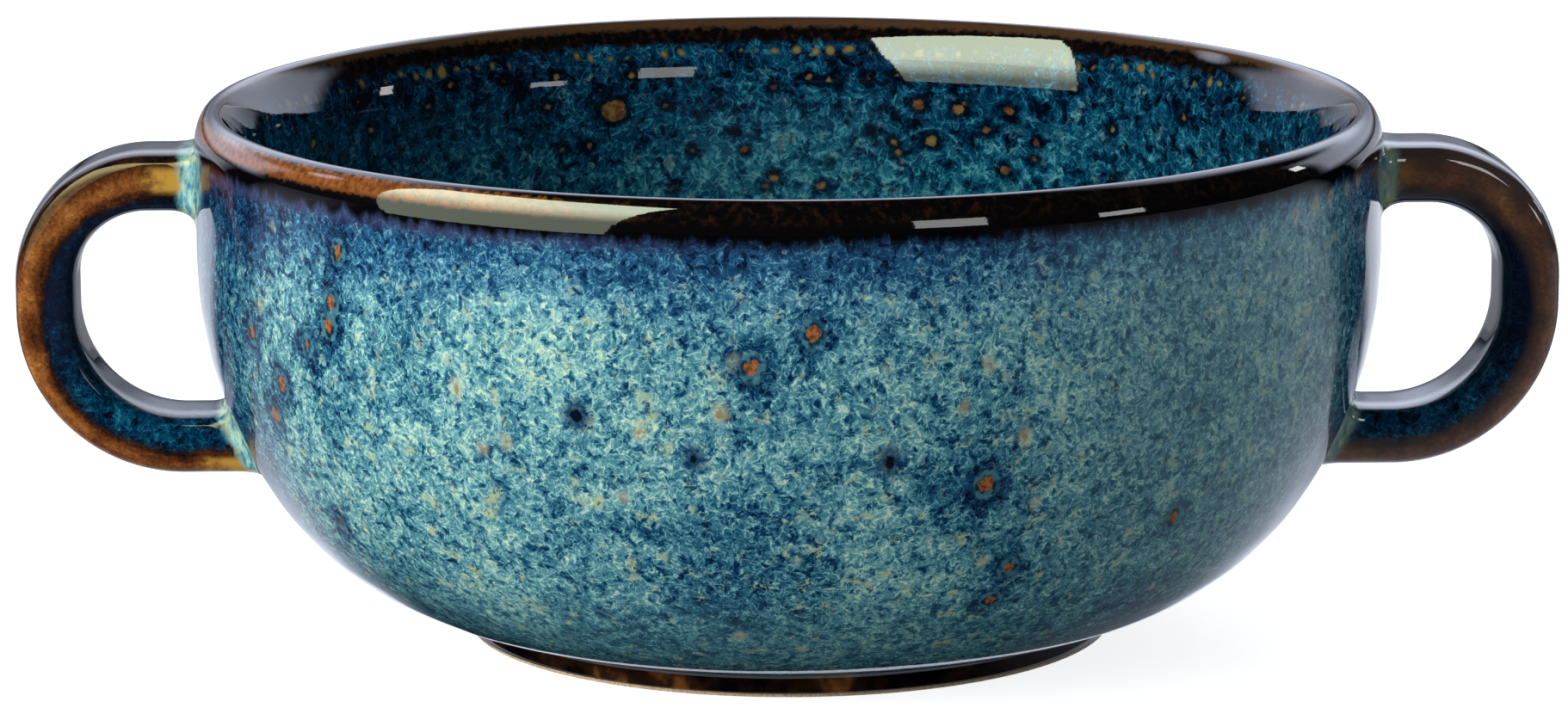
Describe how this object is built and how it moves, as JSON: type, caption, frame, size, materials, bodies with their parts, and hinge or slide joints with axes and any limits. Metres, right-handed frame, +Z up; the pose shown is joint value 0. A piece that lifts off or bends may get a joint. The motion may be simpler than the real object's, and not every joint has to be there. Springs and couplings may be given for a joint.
{
  "type": "lug soup bowl",
  "caption": "Round stoneware soup bowl on a low foot ring, with a loop handle on each side and a glossy mottled blue reactive glaze under a dark brown rim.",
  "frame": {"origin": "middle of the foot ring's bottom face, on the bowl's axis", "axes": "+Z up along the bowl's axis, +X through the right handle, -Y towards the viewer of the picture"},
  "size_m": [0.1828, 0.14, 0.0629],
  "materials": {
    "stoneware_clay": "bare fired stoneware, matt and finely sandy",
    "blue_glaze": "glossy mottled blue reactive glaze with rust spots",
    "deep_blue_glaze": "glossy dark blue reactive glaze with rust spots",
    "iron_glaze": "glossy dark brown iron glaze that breaks to amber",
    "handle_glaze": "glossy rust brown glaze over dark blue",
    "pooled_glaze": "glossy pale turquoise glaze pooled in the joint"
  },
  "bodies": {
    "root": {"bowl_body": "stoneware_clay", "left_handle": "stoneware_clay", "right_handle": "stoneware_clay", "left_upper_joint": "pooled_glaze", "left_lower_joint": "pooled_glaze", "right_upper_joint": "pooled_glaze", "right_lower_joint": "pooled_glaze", "outside_glaze": "blue_glaze", "inside_glaze": "deep_blue_glaze", "rim_glaze": "iron_glaze", "foot_glaze": "iron_glaze", "underside_glaze": "deep_blue_glaze", "left_handle_glaze": "handle_glaze", "right_handle_glaze": "handle_glaze"}
  },
  "joints": []
}
